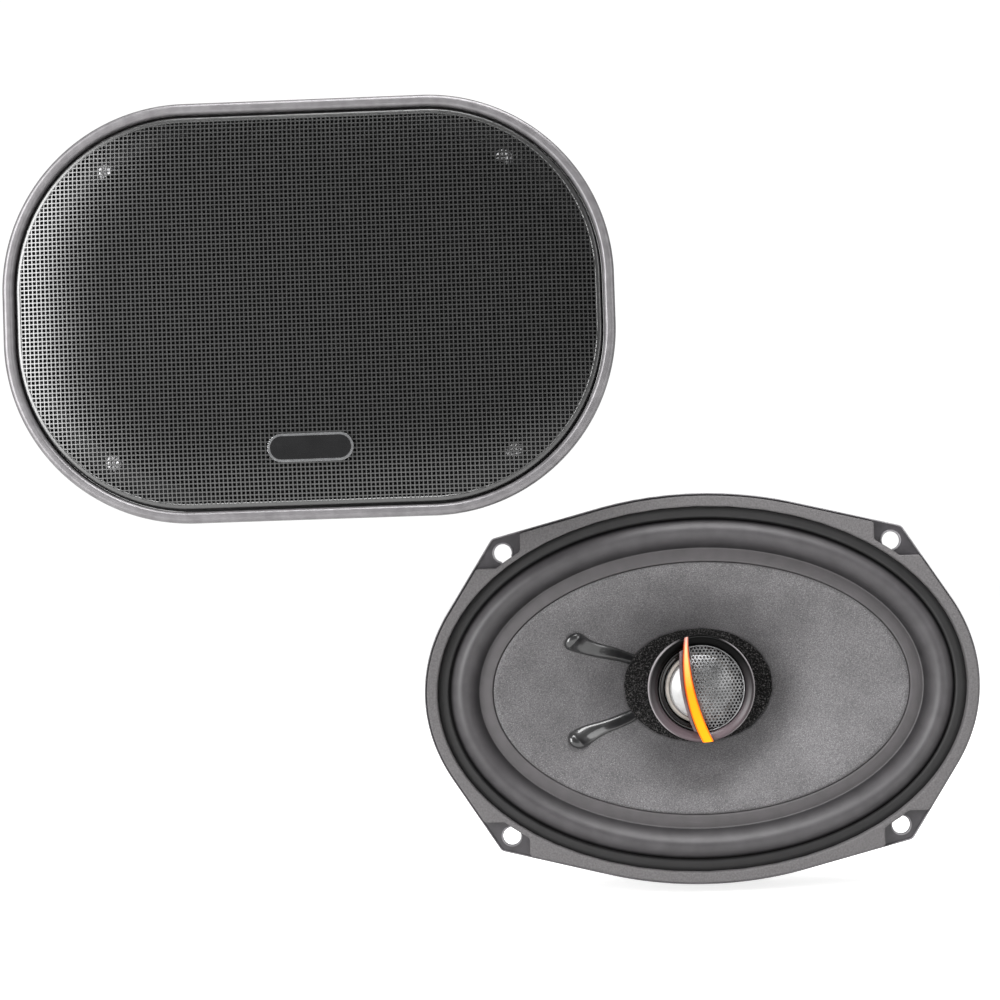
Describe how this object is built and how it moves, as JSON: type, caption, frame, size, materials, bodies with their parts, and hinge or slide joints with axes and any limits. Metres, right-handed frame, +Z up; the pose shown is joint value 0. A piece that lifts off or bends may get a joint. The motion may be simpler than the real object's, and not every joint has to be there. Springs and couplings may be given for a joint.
{
  "type": "oval coaxial car speaker",
  "caption": "Oval coaxial car speaker with a half-roll surround, post-mounted dome tweeter, vented basket, ferrite motor and a removable perforated grille.",
  "frame": {"origin": "centre of the flange's rear seat, on the speaker axis, in the middle of the mounting holes", "axes": "-Y to the front of the speaker along its axis, +X along the oval's long axis, +Z up"},
  "size_m": [0.4068, 0.1317, 0.3365],
  "materials": {
    "black_steel": "satin",
    "gasket_foam": "matt, fine grain",
    "surround_rubber": "satin",
    "cone_paper": "matt, pressed pulp with mica flecks",
    "felt": "matt, grainy",
    "former_paper": "matt paper",
    "copper_wire": "lacquered",
    "spider_cloth": "woven, impregnated",
    "black_glue": "gloss",
    "tinsel": "braided",
    "zinc_steel": "zinc plated",
    "ferrite": "matt ceramic",
    "phenolic": "satin board",
    "tab_brass": "tin over brass",
    "bright_metal": "bright",
    "capacitor_film": "shrink film",
    "strap_nylon": "satin",
    "lead_jacket": "satin",
    "black_plastic": "fine texture",
    "dome_silver": "coated dome",
    "ring_grey": "satin",
    "gloss_black": "gloss",
    "screen_silver": "perforated, satin",
    "accent_orange": "gloss",
    "rail_plum": "gloss",
    "trim_grey": "satin",
    "mesh_black": "satin, square holes"
  },
  "bodies": {
    "speaker": {"basket": "black_steel", "gasket": "gasket_foam", "surround": "surround_rubber", "spider": "spider_cloth", "tinsel_lead_upper": "tinsel", "tinsel_lead_lower": "tinsel", "top_plate": "zinc_steel", "magnet": "ferrite", "back_plate": "zinc_steel", "pole_piece": "zinc_steel", "motor_rivets": "zinc_steel", "terminal_board": "phenolic", "terminal_positive": "tab_brass", "terminal_negative": "tab_brass", "terminal_rivets": "bright_metal", "crossover_capacitor": "capacitor_film", "capacitor_strap": "strap_nylon", "tweeter_post": "bright_metal", "post_nut": "zinc_steel", "tweeter_lead": "lead_jacket", "tweeter_cup": "black_plastic", "tweeter_yoke": "zinc_steel", "tweeter_magnet": "bright_metal", "tweeter_pole_plate": "zinc_steel", "dome_ring": "ring_grey", "tweeter_bezel": "gloss_black", "tweeter_screen": "screen_silver", "accent_blade": "accent_orange", "blade_rail": "rail_plum"},
    "cone_assembly": {"cone": "cone_paper", "dust_felt": "felt", "voice_coil_former": "former_paper", "voice_coil_winding": "copper_wire", "lead_glue_upper": "black_glue", "lead_glue_lower": "black_glue"},
    "tweeter_diaphragm": {"tweeter_dome": "dome_silver", "tweeter_coil": "copper_wire"},
    "grille": {"grille_frame": "black_plastic", "grille_trim": "trim_grey", "grille_mesh": "mesh_black", "grille_rivets": "bright_metal", "badge_rim": "bright_metal", "badge_face": "gloss_black"}
  },
  "joints": [
    {"name": "cone_travel", "type": "slide", "parent": "speaker", "child": "cone_assembly", "axis": [0, -1, 0], "range_m": [-0.005, 0.005], "stiffness_N_per_m": 3000, "deforming": ["surround", "spider", "tinsel_lead_upper", "tinsel_lead_lower"]},
    {"name": "dome_travel", "type": "slide", "parent": "speaker", "child": "tweeter_diaphragm", "axis": [0, -1, 0], "range_m": [-0.0003, 0.0003], "stiffness_N_per_m": 300},
    {"name": "grille_fit", "type": "slide", "parent": "speaker", "child": "grille", "axis": [0.6903, 0.1294, -0.7119], "range_m": [0, 0.23179]}
  ]
}
